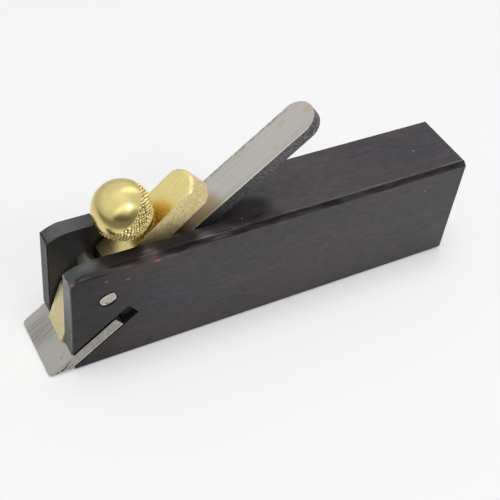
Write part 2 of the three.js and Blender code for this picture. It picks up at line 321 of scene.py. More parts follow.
# Zones of the wood: what each is measured along, where it begins and where it is full
FRONT_ZONE = [("x", FRONT + 0.35 * MM, FRONT + 0.2 * MM)]
SIDE_ZONE = [("beside", FAR_SIDE - 0.15 * MM, FAR_SIDE - 0.05 * MM)]
TOE_END_ZONE = [("x", -28 * MM, -42 * MM)]
STREAK_ZONE = [
    ("z", TOP - 4.2 * MM, TOP - 2.4 * MM),
    ("y", NEAR_SIDE + 0.8 * MM, NEAR_SIDE + 0.4 * MM),
    ("x", -44 * MM, -39 * MM),
    ("x", -24 * MM, -31 * MM),
]
THROAT_ZONE = [
    ("beside", THROAT_HALF + 0.14 * MM, THROAT_HALF + 0.04 * MM),
    ("z", TOP - 0.2 * MM, TOP - 0.35 * MM),
    ("x", FRONT + 0.1 * MM, FRONT + 0.3 * MM),
    ("x", -12 * MM, -13 * MM),
]
CHAMFER_ZONE = [
    ("raised", TOP - 1.06 * MM, TOP - 0.94 * MM),
    ("y", NEAR_SIDE + 1.1 * MM, NEAR_SIDE + 0.85 * MM),
    ("x", -46.3 * MM, -45.6 * MM),
]
POLISHED_ZONE = [
    ("y", NEAR_SIDE + 1.0 * MM, NEAR_SIDE + 1.12 * MM),
    ("y", NEAR_SIDE + 1.5 * MM, NEAR_SIDE + 1.35 * MM),
    ("z", TOP - 0.3 * MM, TOP - 0.15 * MM),
]

# Ranges on the wood: the brow's drop and the polish by X, and the roughness by the fine grain
BROW_DROP = (-46 * MM, -37 * MM, 0.6 * MM, 0.0)
POLISH_ALONG = (-26 * MM, -8 * MM, 0.3, 1.0)
SATIN_ROUGHNESS = (0.2, 0.8, 0.25, 0.4)
POLISH_SMOOTHING = 0.2

# Sheen of the wood as ranges, the first two lists by X and added up
SIDE_SHEEN = [(-47 * MM, -20 * MM, 0.28, 0.5), (-20 * MM, 45 * MM, 0, 0.1)]
TOP_SHEEN = [
    (-20 * MM, -5 * MM, 0.42, 0.5),
    (5 * MM, 38 * MM, 0, -0.15),
    (-38 * MM, -43 * MM, 0, 0.38),
]
SIDE_SHEEN_BY_HEIGHT = (0, 20 * MM, 0.84, 1.0)
FRONT_SHEEN_ACROSS = (-2 * MM, 2 * MM, 0.85, 0.1)
FRONT_SHEEN_SCUFFED = (0.35, 0.65, 0.72, 1.3)
THROAT_SHEEN = 0.45

# Zones of the iron, in its own frame
ON_SHANK = ("x", 20 * MM, 24 * MM)
COVERED = [
    ("x", COVER_START, COVER_START + 0.3 * MM),
    ("x", SHOULDER + 1.2 * MM, SHOULDER + 0.8 * MM),
]
COVERED_FACE = [*COVERED, ("beside", THROAT_HALF - 0.1 * MM, THROAT_HALF + 0.1 * MM)]
COVERED_RIM = [*COVERED, ("z", IRON_TOP - 0.26 * MM, IRON_TOP - 0.16 * MM)]
TOE_ZONE = [("x", 6 * MM, 2 * MM)]
TAIL_ZONE = [("x", 38 * MM, 70 * MM)]
TICKED = [("x", 2 * MM, 8 * MM)]
UNDER_CAP = [("x", 24 * MM, 28 * MM), ("x", 42 * MM, 37 * MM)]
FAR_EDGE = [ON_SHANK, ("y", SHANK_HALF - 1.1 * MM, SHANK_HALF - 0.4 * MM)]
NEAR_BAND = [ON_SHANK, ("y", -SHANK_HALF + 1.8 * MM, -SHANK_HALF + 0.8 * MM)]
NEAR_EDGE_HIGHLIGHT_ZONE = [ON_SHANK, ("y", -SHANK_HALF + 0.26 * MM, -SHANK_HALF + 0.1 * MM)]
LOW_EDGE = [("z", 0.62 * MM, 0.42 * MM), ("x", 1 * MM, 3 * MM)]

# Coats over the steel. Those for covered places, under the cap and outside the pin's oval are painted
# shade; those for the highlight along the near edge and for the low edge are painted light
COVERED_PAINTED_SHADE = ((0.012, 0.011, 0.011),)
TOE_GREY = ((0.44, 0.425, 0.395), 0.5)
CUT_DARK = ((0.13, 0.125, 0.12), 0.62)
SPECK_DARK = ((0.2, 0.19, 0.19), 0.6)
BAND_DULL = ((0.38, 0.365, 0.345), 0.3)
UNDER_CAP_PAINTED_SHADE = ((0.12, 0.11, 0.105), 0.8)
NEAR_EDGE_PAINTED_HIGHLIGHT = ((0.82, 0.8, 0.76),)
TICK_DARK = ((0.13, 0.123, 0.112), 0.62)
LOW_EDGE_PAINTED_LIGHT = ((0.78, 0.75, 0.7), 0.6)
OVAL_RIM_BRIGHT = ((0.72, 0.69, 0.64), 0.8)
# Painted shade outside the oval on the pin's ends
OVAL_PAINTED_SHADE = ((0.028, 0.024, 0.021),)

# Forge scale, by the cap and at the tail: its hollows and its high spots
SCALE_DARK = ((0.008, 0.0078, 0.008), (0.055, 0.055, 0.055))
SCALE_LIGHT = ((0.038, 0.036, 0.037), (0.28, 0.278, 0.275))
GRIT_SHOWN = (0.36, 0.66)

# How far scratches and spots change the colour of the metals, darker and lighter, and their roughness
SCRATCH_SHOWN = (0.25, 0.75)
ROUGHNESS_SHOWN = (0.2, 0.8)
STEEL_TONES = (0.18, 0.12)
STEEL_SPREAD = (-0.06, 0.08)
STEEL_PATCH_SHADE = 0.72
RUST_TINT = (0.5, 0.36, 0.26)
BRASS_TONES = (0.14, 0.1)
BRASS_SPREAD = (-0.05, 0.07)
SPECKLE_SHADE = (0.6, 0.47, 0.33)
SPECKLE_SHOWN = (0.54, 0.38)
BALL_SHADE = 0.88
BALL_SPREAD = (-0.03, 0.05)
CLOUD_SHOWN = (0.35, 0.65)

# Knurl: browner by the ball's foot, and grimy in its grooves, by the distance from the ball's centre
FOOT_BROWN = ((0.52, 0.42, 0.17), 0.5)
FOOT_REACH = (-1.2 * MM, -4.2 * MM)
KNURL_GRIME = ((0.17, 0.115, 0.042),)
GROOVE_FLOOR = BALL_RADIUS + KNURL_PROUD - KNURL_DEPTH
GROOVE_REACH = (GROOVE_FLOOR + 0.19 * MM, GROOVE_FLOOR + 0.04 * MM)


def placed(x_axis, z_axis, origin):
    """A matrix whose X and Z run along two given directions, from an origin."""
    y_axis = z_axis.cross(x_axis)
    turn = Matrix((x_axis, y_axis, z_axis)).transposed()
    return Matrix.Translation(origin) @ turn.to_4x4()


# Frames of the pieces
ACROSS = Vector((0, 1, 0))
BED = placed(SLOPE, SLOPE.cross(ACROSS), Vector((FRONT, 0, 0)))
CAP = placed(ACROSS.cross(SCREW_AXIS), SCREW_AXIS, PIN_CENTRE)
SCREW = placed(ACROSS.cross(SCREW_AXIS), SCREW_AXIS, BALL_CENTRE)
PIN = placed(Vector((1, 0, 0)), ACROSS, PIN_CENTRE)

# How much each diamond of the knurl is worn down, from 0 to 1
random.seed(SEED)
seed_set(SEED)
UNEVEN = {(i, j): random.random() for i in range(KNURL_COUNT) for j in range(KNURL_COUNT)}


# Meshes
def added(name, data):
    """A new object in the scene."""
    made = bpy.data.objects.new(name, data)
    bpy.context.scene.collection.objects.link(made)
    return made


def finished(name, bm, place, materials, body, node):
    """Turns a bmesh in a frame of its own into a piece that stands for one node and rides on its body."""
    bmesh.ops.transform(bm, matrix=place, verts=bm.verts)
    bmesh.ops.recalc_face_normals(bm, faces=bm.faces)
    mesh = bpy.data.meshes.new(name)
    for material in materials:
        mesh.materials.append(material)
    bm.to_mesh(mesh)
    bm.free()
    mesh.shade_smooth()
    mesh.set_sharp_from_angle(angle=SMOOTH_BELOW)
    piece = added(name, mesh)
    weighted = piece.modifiers.new("even_shading", "WEIGHTED_NORMAL")
    weighted.keep_sharp = True
    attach(piece, body)
    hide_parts(node)


def softened(node, place, ease, broad_ease=0.0, is_broad=None, is_kept=None):
    """A copy of a CAD node's mesh, in a frame of its own, with its worked edges rounded.

    Edges that is_broad picks get the broad rounding, and edges that is_kept picks stay sharp."""
    bm = bmesh.new()
    bm.from_mesh(frame["nodes"][node].data)
    bmesh.ops.transform(bm, matrix=place.inverted(), verts=bm.verts)
    bmesh.ops.remove_doubles(bm, verts=bm.verts, dist=WELD_DISTANCE)
    bmesh.ops.dissolve_limit(bm, angle_limit=FLAT_BELOW, verts=bm.verts, edges=bm.edges)
    passes = [(broad_ease, is_broad, BROAD_STEPS)] if is_broad else []
    passes.append((ease, lambda edge: not (is_kept and is_kept(edge)), EASE_STEPS))
    for offset, picks, steps in passes:
        sharp = [e for e in bm.edges if len(e.link_faces) == 2 and e.calc_face_angle() > SHARP_EDGE]
        bmesh.ops.bevel(
            bm,
            geom=[edge for edge in sharp if picks(edge)],
            affect="EDGES",
            offset=offset,
            offset_type="OFFSET",
            segments=steps,
            profile=0.5,
            clamp_overlap=True,
        )
    list_by_corners(bm)
    return bm


def list_by_corners(bm):
    """Lists the faces in the order of their corners. The roundings leave it different on each run."""
    bm.verts.index_update()
    listed = sorted(bm.faces, key=lambda face: [corner.index for corner in face.verts])
    for index, face in enumerate(listed):
        face.index = index
    bm.faces.sort()


def on_chamfer(edge):
    """Whether an edge lies between the near chamfer and the top face or the brow."""
    sides = sorted(face.normal.y for face in edge.link_faces)
    return CHAMFER_LEAN[0] < sides[0] < CHAMFER_LEAN[1] and abs(sides[1]) < CHAMFER_BESIDE


def kept_sharp(edge):
    """Whether an edge lies on the sole or along the slope of the bed and the slot."""
    highest = max(corner.co.z for corner in edge.verts)
    if highest < ON_SOLE:
        return True
    off_bed = BED.col[2].to_3d()
    sloping = [face for face in edge.link_faces if abs(face.normal.dot(off_bed)) > SLOPING_LEAN]
    return bool(sloping) and highest < TOP - BELOW_TOP


def turned(rows, columns):
    """A closed surface of revolution about Z, with poles where the radius is zero.

    A row is a radius and a height, or a function that gives both for an angle."""
    bm = bmesh.new()
    rings = []
    for row in rows:
        if not callable(row) and row[0] == 0:
            rings.append([bm.verts.new((0, 0, row[1]))])
            continue
        ring = []
        for column in range(columns):
            angle = 2 * math.pi * column / columns
            radius, height = row(angle) if callable(row) else row
            ring.append(bm.verts.new((radius * math.cos(angle), radius * math.sin(angle), height)))
        rings.append(ring)
    for low, high in zip(rings, rings[1:]):
        for column in range(columns):
            after = (column + 1) % columns
            if len(low) == 1:
                bm.faces.new((low[0], high[column], high[after]))
            elif len(high) == 1:
                bm.faces.new((low[column], low[after], high[0]))
            else:
                bm.faces.new((low[column], low[after], high[after], high[column]))
    return bm


def ridge(x):
    """A triangle wave: 0 in each groove, at whole numbers, and 1 half way between."""
    return 1 - abs(2 * (x % 1) - 1)


def knurl_row(latitude, low, top):
    """A row of the knurl, which runs from a low latitude to a top one."""

    def at(angle):
        level = math.cos(latitude)
        spot = Vector((math.cos(angle) * level, math.sin(angle) * level, math.sin(latitude)))
        drift = noise_vector(spot * (BALL_RADIUS / KNURL_PATCH)) * KNURL_WANDER
        around = angle * KNURL_COUNT / (2 * math.pi) + drift.x
        along = (latitude - low) * BALL_RADIUS / KNURL_PITCH + drift.y
        height = min(ridge(around + along), ridge(around - along), KNURL_FLAT) / KNURL_FLAT
        cell = (math.floor(around + along) % KNURL_COUNT, math.floor(around - along) % KNURL_COUNT)
        worn_height = height * (1 - KNURL_UNEVEN * UNEVEN[cell])
        ragged = KNURL_RAGGED * (0.5 + 0.5 * drift.z / KNURL_WANDER)
        from_top = (top - latitude) * BALL_RADIUS - ragged
        from_foot = (latitude - low) * BALL_RADIUS
        share = max(0, min(1, from_top / KNURL_FADE, from_foot / KNURL_FADE))
        radius = BALL_RADIUS + share * (KNURL_PROUD - KNURL_DEPTH * (1 - worn_height))
        return radius * math.cos(latitude), radius * math.sin(latitude)

    return at


def ball_rows():
    """Rows of the ball head: blind hole, foot, knurled band and smooth dome, from the inside out."""
    hole_radius = STUD_RADIUS + STUD_HOLE_GAP
    foot_radius = math.sqrt(BALL_RADIUS**2 - BALL_FOOT**2)
    rows = [(0, BALL_HOLE_TOP), (hole_radius, BALL_HOLE_TOP)]
    rows += [(hole_radius, -BALL_FOOT), (foot_radius, -BALL_FOOT)]
    low = -math.asin(BALL_FOOT / BALL_RADIUS)
    top = math.asin(KNURL_TOP / BALL_RADIUS)
    steps = round((top - low) * BALL_RADIUS / KNURL_PITCH * KNURL_DIVISIONS)
    rows += [knurl_row(low + (top - low) * step / steps, low, top) for step in range(1, steps)]
    for step in range(DOME_ROWS):
        latitude = top + (math.pi / 2 - top) * step / DOME_ROWS
        rows.append((BALL_RADIUS * math.cos(latitude), BALL_RADIUS * math.sin(latitude)))
    rows.append((0, BALL_RADIUS))
    return rows


def thread_row(height, share):
    """A row of the thread, which climbs one pitch in a turn, at a share of its full depth."""

    def at(angle):
        wave = ridge(height / STUD_PITCH - angle / (2 * math.pi))
        return STUD_RADIUS - THREAD_DEPTH + share * THREAD_DEPTH * min(1, THREAD_CREST * wave), height

    return at


def stud_rows(length):
    """Rows of the stud from its tip up: a plain tip, a helical thread and a flat end."""
    rows = [(0, 0), (STUD_TIP_RADIUS - STUD_TIP_EASE, 0)]
    rows += [(STUD_TIP_RADIUS, STUD_TIP_EASE), (STUD_TIP_RADIUS, STUD_TIP)]
    steps = round((length - STUD_TIP) / STUD_PITCH * THREAD_ROWS)
    for step in range(1, steps):
        height = STUD_TIP + (length - STUD_TIP) * step / steps
        rows.append(thread_row(height, min(1, step / THREAD_ROWS, (steps - step) / THREAD_ROWS)))
    return rows + [(STUD_RADIUS - THREAD_DEPTH, length), (0, length)]


# Nodes of the materials
def new_material(name):
    """An empty node material with its shader."""
    material = bpy.data.materials.new(name)
    material.use_nodes = True
    tree = material.node_tree
    tree.nodes.clear()
    shader = tree.nodes.new("ShaderNodeBsdfPrincipled")
    output = tree.nodes.new("ShaderNodeOutputMaterial")
    tree.links.new(shader.outputs["BSDF"], output.inputs["Surface"])
    return material, tree, shader


def put(tree, socket, value):
    """Gives a socket a value, or a link where the value is another node's output."""
    if isinstance(value, bpy.types.NodeSocket):
        tree.links.new(value, socket)
    else:
        socket.default_value = value


def where(tree, frame_place=None):
    """The place on the piece in metres, in a frame of its own where one is given."""
    spot = tree.nodes.new("ShaderNodeTexCoord").outputs["Object"]
    if frame_place is None:
        return spot
    inside = tree.nodes.new("ShaderNodeMapping")
    inside.vector_type = "TEXTURE"
    put(tree, inside.inputs["Vector"], spot)
    inside.inputs["Location"].default_value = frame_place.translation
    inside.inputs["Rotation"].default_value = frame_place.to_euler()
    return inside.outputs["Vector"]


def axes_of(tree, vector):
    """The three parts of a vector, by name."""
    split = tree.nodes.new("ShaderNodeSeparateXYZ")
    put(tree, split.inputs["Vector"], vector)
    return {axis.lower(): split.outputs[axis] for axis in "XYZ"}


def stretched(tree, vector, scale=(1, 1, 1), shift=(0, 0, 0), turn=(0, 0, 0)):
    """A vector scaled by axis, turned and moved."""
    mapping = tree.nodes.new("ShaderNodeMapping")
    put(tree, mapping.inputs["Vector"], vector)
    mapping.inputs["Scale"].default_value = scale
    mapping.inputs["Location"].default_value = shift
    mapping.inputs["Rotation"].default_value = turn
    return mapping.outputs["Vector"]


def measured(tree, operation, vector, other=None):
    """The length of a vector, or its product with or its distance from another."""
    made = tree.nodes.new("ShaderNodeVectorMath")
    made.operation = operation
    put(tree, made.inputs[0], vector)
    if other is not None:
        made.inputs[1].default_value = other
    return made.outputs["Value"]


def ranged(tree, value, low, high, to_low=0.0, to_high=1.0, smooth=True):
    """Maps a value from one range to another and keeps it there."""
    made = tree.nodes.new("ShaderNodeMapRange")
    made.interpolation_type = "SMOOTHSTEP" if smooth else "LINEAR"
    put(tree, made.inputs["Value"], value)
    made.inputs["From Min"].default_value = low
    made.inputs["From Max"].default_value = high
    made.inputs["To Min"].default_value = to_low
    made.inputs["To Max"].default_value = to_high
    return made.outputs["Result"]


def towards(tree, share, value):
    """A factor that goes from 1 to a value, by share."""
    return ranged(tree, share, 0, 1, 1, value, smooth=False)


def noise(tree, place, scale, shift=(0, 0, 0), detail=4, rough=0.55, shown=None):
    """Cloudy noise from 0 to 1, scaled by axis, and mapped by the range that it shows in, if any."""
    made = tree.nodes.new("ShaderNodeTexNoise")
    put(tree, made.inputs["Vector"], stretched(tree, place, scale, shift))
    made.inputs["Scale"].default_value = 1.0
    made.inputs["Detail"].default_value = detail
    made.inputs["Roughness"].default_value = rough
    return ranged(tree, made.outputs["Fac"], *shown) if shown else made.outputs["Fac"]


def maths(tree, operation, first, second=0.0):
    """One sum on two values."""
    made = tree.nodes.new("ShaderNodeMath")
    made.operation = operation
    put(tree, made.inputs[0], first)
    put(tree, made.inputs[1], second)
    return made.outputs["Value"]


def times(tree, *values):
    """The product of several values."""
    total = values[0]
    for value in values[1:]:
        total = maths(tree, "MULTIPLY", total, value)
    return total


def added_up(tree, value, ranges):
    """The sum of several ranges of one value."""
    total = ranged(tree, value, *ranges[0])
    for each in ranges[1:]:
        total = maths(tree, "ADD", total, ranged(tree, value, *each))
    return total


def zone(tree, at, limits):
    """1 inside a zone and 0 outside it, by what it is measured along, where it begins and is full."""
    return times(tree, *[ranged(tree, at[along], begins, full) for along, begins, full in limits])


def near(tree, vector, centre, reach):
    """A soft spot: 1 at the centre of an ellipsoid and 0 outside it."""
    shift = [-c / r for c, r in zip(centre, reach)]
    moved = stretched(tree, vector, [1 / r for r in reach], shift)
    return ranged(tree, measured(tree, "LENGTH", moved), *SPOT_FADE)


def spotted(tree, place, centre, reach):
    """A soft spot on a piece, with its centre and its reach in millimetres."""
    return near(tree, place, [c * MM for c in centre], [r * MM for r in reach])


def between(tree, share, first, second):
    """A value between two, by share."""
    made = tree.nodes.new("ShaderNodeMix")
    put(tree, made.inputs["Factor"], share)
    put(tree, made.inputs[2], first)
    put(tree, made.inputs[3], second)
    return made.outputs[0]


def mixed(tree, share, first, second):
    """A colour between two, by share."""
    made = tree.nodes.new("ShaderNodeMix")
    made.data_type = "RGBA"
    put(tree, made.inputs["Factor"], share)
    for socket, colour in ((made.inputs[6], first), (made.inputs[7], second)):
        put(tree, socket, colour if isinstance(colour, bpy.types.NodeSocket) else (*colour, 1))
    return made.outputs[2]


def scaled(colour, share):
    """A colour made darker or lighter."""
    return [min(1, part * share) for part in colour]


def scratched(tree, lines, colour, tones, contrast):
    """A colour that turns darker and lighter by its scratches."""
    dim, bright = tones
    share = ranged(tree, lines, *SCRATCH_SHOWN)
    return mixed(tree, share, scaled(colour, 1 - dim * contrast), scaled(colour, 1 + bright * contrast))


def coated(tree, base, coat, *shares):
    """Lays a coat, a colour and perhaps its share, over a colour by the product of some more shares."""
    colour, *share = coat
    return mixed(tree, times(tree, *shares, *share), base, colour)


def marked(tree, place, base, marks_and_painted_light):
    """Lays soft spots over a colour, each with its place, its reach and its coat."""
    for centre, reach, *coat in marks_and_painted_light:
        base = coated(tree, base, coat, spotted(tree, place, centre, reach))
    return base


def overlaid(tree, shader, coat, *shares):
    """Lays a coat over a shader's base colour, by the product of some shares."""
    base = shader.inputs["Base Color"]
    put(tree, base, coated(tree, base.links[0].from_socket, coat, *shares))


def roughened(tree, shader, pattern, rough, spread):
    """Roughness around a value, spread by a pattern."""
    ends = [rough + part for part in spread]
    put(tree, shader.inputs["Roughness"], ranged(tree, pattern, *ROUGHNESS_SHOWN, *ends, smooth=False))


def bumped(tree, shader, height, depth, strength):
    """Bump from a height, which is so many metres deep where it goes from 0 to 1."""
    made = tree.nodes.new("ShaderNodeBump")
    put(tree, made.inputs["Height"], height)
    made.inputs["Distance"].default_value = depth
    made.inputs["Strength"].default_value = strength
    put(tree, shader.inputs["Normal"], made.outputs["Normal"])


# Materials
def ebony_parts(tree, place, at):
    """The wood's fine grain and scuffs, and where it is front, side, throat, near chamfer and polished."""
    polished = times(
        tree,
        zone(tree, at, POLISHED_ZONE),
        noise(tree, place, *WOOD_WEAR),
        ranged(tree, at["x"], *POLISH_ALONG),
    )
    return {
        "fine": noise(tree, place, *WOOD_FINE),
        "scuffs": noise(tree, place, *WOOD_SCUFFS),
        "front": zone(tree, at, FRONT_ZONE),
        "side": zone(tree, at, SIDE_ZONE),
        "throat": zone(tree, at, THROAT_ZONE),
        "chamfer": zone(tree, at, CHAMFER_ZONE),
        "polished": polished,
    }


def ebony_colour(tree, place, at, parts):
    """Near black with long fine grain, brown, blue and red tints and red streaks by the near edge. It is
    scuffed on its front faces and grey in the throat, and painted shade makes it darkest on the near
    chamfer."""
    wood = mixed(tree, noise(tree, place, *WOOD_TINT), *WOOD_GROUND)
    for pattern, *coat in GRAIN_LAYERS:
        wood = coated(tree, wood, coat, noise(tree, place, *pattern))
    wood = coated(tree, wood, GRAIN_PALE, ranged(tree, parts["fine"], *GRAIN_PALE_SHOWN))
    streaks = noise(tree, place, *WOOD_STREAK)
    wood = coated(tree, wood, STREAK_RED, zone(tree, at, STREAK_ZONE), streaks)
    wood = coated(tree, wood, TOE_END_DARK, zone(tree, at, TOE_END_ZONE))
    # Besides real chips, this list lays painted highlights, painted reflections, painted shade and painted
    # light
    wood = marked(tree, place, wood, WOOD_CHIPS_AND_PAINTED_LIGHT)
    for coat, shown in ((SCUFF_PALE, SCUFF_PALE_SHOWN), (SCUFF_DARK, SCUFF_DARK_SHOWN)):
        wood = coated(tree, wood, coat, parts["front"], ranged(tree, parts["scuffs"], *shown))
    wood = coated(tree, wood, THROAT_GREY, parts["throat"])
    return coated(tree, wood, CHAMFER_PAINTED_SHADE, parts["chamfer"])


def ebony_sheen(tree, place, at, parts):
    """How strongly the wood reflects: most where it is polished and at the heel end of its sides, least
    on its near chamfer, in the throat and on the dull places of its top."""
    on_side = added_up(tree, at["x"], SIDE_SHEEN)
    on_side = times(tree, on_side, ranged(tree, at["z"], *SIDE_SHEEN_BY_HEIGHT))
    on_front = ranged(tree, at["y"], *FRONT_SHEEN_ACROSS)
    on_front = times(tree, on_front, ranged(tree, parts["scuffs"], *FRONT_SHEEN_SCUFFED))
    shine = between(tree, parts["side"], added_up(tree, at["x"], TOP_SHEEN), on_side)
    shine = between(tree, parts["front"], shine, on_front)
    shine = between(tree, parts["chamfer"], shine, noise(tree, place, *WOOD_DULL))
    shine = between(tree, parts["polished"], shine, 1.0)
    shine = times(tree, shine, towards(tree, parts["throat"], THROAT_SHEEN))
    for centre, reach, share in SHEEN_PATCHES:
        shine = times(tree, shine, towards(tree, spotted(tree, place, centre, reach), share))
    return times(tree, shine, noise(tree, place, *WOOD_SHEEN))


def ebony():
    """Oiled ebony, with the edge above its near chamfer polished by the hand."""
    material, tree, shader = new_material("ebony")
    place = where(tree)
    at = axes_of(tree, place)
    at["beside"] = maths(tree, "ABSOLUTE", at["y"])
    at["raised"] = maths(tree, "ADD", at["z"], ranged(tree, at["x"], *BROW_DROP))
    parts = ebony_parts(tree, place, at)
    put(tree, shader.inputs["Base Color"], ebony_colour(tree, place, at, parts))
    satin = ranged(tree, parts["fine"], *SATIN_ROUGHNESS, smooth=False)
    smoothing = times(tree, parts["polished"], POLISH_SMOOTHING)
    put(tree, shader.inputs["Roughness"], maths(tree, "SUBTRACT", satin, smoothing))
    put(tree, shader.inputs["Specular IOR Level"], ebony_sheen(tree, place, at, parts))
    grain = maths(tree, "ADD", parts["fine"], noise(tree, place, *WOOD_PORES))
    bumped(tree, shader, grain, depth=0.02 * MM, strength=0.5)
    return material


def steel(name, frame_place, colour, rough, scratches, patch, depth=0.012 * MM, marks_and_painted_light=(), contrast=1.0):
    """Ground steel: fine scratches, faint warm patches and single marks, some of them painted light.

    The scratches are given by how close they lie along and across the piece."""
    material, tree, shader = new_material(name)
    place = where(tree, frame_place)
    along, across = scratches
    lines = noise(tree, place, (along, across, across), rough=0.65)
    shade = scratched(tree, lines, colour, STEEL_TONES, contrast)
    for pattern, tint in ((STEEL_PATCHES, scaled(colour, STEEL_PATCH_SHADE)), (STEEL_RUST, RUST_TINT)):
        shade = coated(tree, shade, (tint, patch), noise(tree, place, *pattern))
    put(tree, shader.inputs["Base Color"], marked(tree, place, shade, marks_and_painted_light))
    shader.inputs["Metallic"].default_value = 1.0
    roughened(tree, shader, lines, rough, STEEL_SPREAD)
    bumped(tree, shader, lines, depth, strength=0.6)
    return material, tree, shader, place


def blade_steel():
    """The iron's faces: crisp grinding lines at the toe, painted shade where the cheeks and the cap cover
    them, specks along the shank's far edge, and a dull band and a painted highlight along its near edge."""
    material, tree, shader, place = steel(
        "ground_steel",
        BED,
        colour=(0.54, 0.517, 0.475),
        rough=0.38,
        scratches=(70, 3600),
        patch=0.2,
        depth=0.014 * MM,
        marks_and_painted_light=IRON_MARKS_AND_PAINTED_LIGHT,
        contrast=0.8,
    )
    at = axes_of(tree, place)
    at["beside"] = maths(tree, "ABSOLUTE", at["y"])
    toe = zone(tree, at, TOE_ZONE)
    overlaid(tree, shader, TOE_GREY, toe)
    combed = times(tree, toe, ranged(tree, spotted(tree, place, *TOE_COMB), *TOE_COMBED))
    overlaid(tree, shader, CUT_DARK, noise(tree, place, *TOE_CUTS), combed)
    # Painted shade on the faces that the cheeks cover
    overlaid(tree, shader, COVERED_PAINTED_SHADE, zone(tree, at, COVERED_FACE))
    specks = noise(tree, place, *EDGE_SPECKS)
    overlaid(tree, shader, SPECK_DARK, zone(tree, at, FAR_EDGE), specks)
    overlaid(tree, shader, BAND_DULL, zone(tree, at, NEAR_BAND))
    # Painted shade on the iron's top under the cap's tail
    overlaid(tree, shader, UNDER_CAP_PAINTED_SHADE, zone(tree, at, UNDER_CAP))
    # A painted highlight along the shank's near edge
    overlaid(tree, shader, NEAR_EDGE_PAINTED_HIGHLIGHT, zone(tree, at, NEAR_EDGE_HIGHLIGHT_ZONE))
    return material


def side_steel():
    """The iron's sides at its wide end: cross ticks, painted light on the lower edge, and painted shade
    on the upper rim where the cheeks cover it."""
    material, tree, shader, place = steel(
        "ground_side",
        BED,
        colour=(0.43, 0.41, 0.375),
        rough=0.42,
        scratches=(2900, 700),
        patch=0.1,
        depth=0.03 * MM,
        marks_and_painted_light=SIDE_MARKS,
        contrast=2.0,
    )
    at = axes_of(tree, place)
    drift = times(tree, noise(tree, place, *TICK_DRIFT), TICK_WANDER)
    turns = maths(tree, "ADD", times(tree, at["x"], 2 * math.pi / TICK_PITCH), drift)
    ticks = ranged(tree, maths(tree, "SINE", turns), *TICK_SHOWN)
    faded = noise(tree, place, *TICK_FADE)
    overlaid(tree, shader, TICK_DARK, ticks, faded, zone(tree, at, TICKED))
    # Painted light on the lower edge of the side, by the toe
    overlaid(tree, shader, LOW_EDGE_PAINTED_LIGHT, zone(tree, at, LOW_EDGE))
    # Painted shade on the upper rim that the cheeks cover
    overlaid(tree, shader, COVERED_PAINTED_SHADE, zone(tree, at, COVERED_RIM))
    return material


def pin_steel():
    """The cross pin: on its ends an oval that is brightest by its rim, with painted shade around it."""
    material, tree, shader, place = steel(
        "pin_steel",
        PIN,
        colour=(0.5, 0.455, 0.4),
        rough=0.36,
        scratches=(900, 900),
        patch=0.1,
        marks_and_painted_light=PIN_MARKS,
    )
    at = axes_of(tree, stretched(tree, place, turn=(0, 0, PIN_OVAL_LEAN)))
    parts = []
    for value, centre, reach in zip((at["x"], at["y"]), PIN_OVAL_CENTRE, PIN_OVAL_REACH):
        share = maths(tree, "DIVIDE", maths(tree, "SUBTRACT", value, centre), reach)
        parts.append(maths(tree, "POWER", maths(tree, "ABSOLUTE", share), PIN_OVAL_FULLNESS))
    outward = maths(tree, "ADD", *parts)
    at_end = ranged(tree, maths(tree, "ABSOLUTE", at["z"]), *PIN_END_REACH)
    overlaid(tree, shader, OVAL_RIM_BRIGHT, ranged(tree, outward, *PIN_OVAL_RIM), at_end)
    # Painted shade outside the oval on the pin's ends
    overlaid(tree, shader, OVAL_PAINTED_SHADE, ranged(tree, outward, *PIN_OVAL_OUTSIDE), at_end)
    return material


def stud_steel():
    """The stud's plain steel."""
    return steel(
        "stud_steel",
        SCREW,
        colour=(0.55, 0.53, 0.5),
        rough=0.35,
        scratches=(1200, 1200),
        patch=0.15,
    )[0]


def scale_steel():
    """Forge scale on the edges of the iron's shank, dark by the cap and greyer towards the tail."""
    material, tree, shader = new_material("steel_scale")
    place = where(tree, BED)
    grit = noise(tree, place, *SCALE_GRIT)
    to_tail = zone(tree, axes_of(tree, place), TAIL_ZONE)
    dark = mixed(tree, to_tail, *SCALE_DARK)
    light = mixed(tree, to_tail, *SCALE_LIGHT)
    put(tree, shader.inputs["Base Color"], mixed(tree, ranged(tree, grit, *GRIT_SHOWN), dark, light))
    shader.inputs["Metallic"].default_value = 0.35
    shader.inputs["Roughness"].default_value = 0.55
    shader.inputs["Specular IOR Level"].default_value = 0.3
    bumped(tree, shader, grit, depth=0.06 * MM, strength=0.8)
    return material


def brass(name, colour, rough, scratches, depth, grit, speckle=0.0, metallic=1.0, contrast=1.0, marks_and_painted_light=()):
    """Brass with tool marks along one way and, where wanted, a coarse speckle. Rough brass that throws
    light back all ways counts as less metallic."""
    material, tree, shader = new_material(name)
    place = where(tree, CAP)
    along, across = scratches
    lines = noise(tree, place, (along, across, across), rough=0.6)
    spots = noise(tree, place, *BRASS_SPOTS)
    shade = scratched(tree, lines, colour, BRASS_TONES, contrast)
    if speckle:
        dark = [part * share for part, share in zip(colour, SPECKLE_SHADE)]
        shade = coated(tree, shade, (dark, speckle), ranged(tree, spots, *SPECKLE_SHOWN))
    put(tree, shader.inputs["Base Color"], marked(tree, place, shade, marks_and_painted_light))
    shader.inputs["Metallic"].default_value = metallic
    roughened(tree, shader, spots, rough, BRASS_SPREAD)
    bumped(tree, shader, maths(tree, "ADD", lines, times(tree, spots, grit)), depth, strength=0.7)
    return material


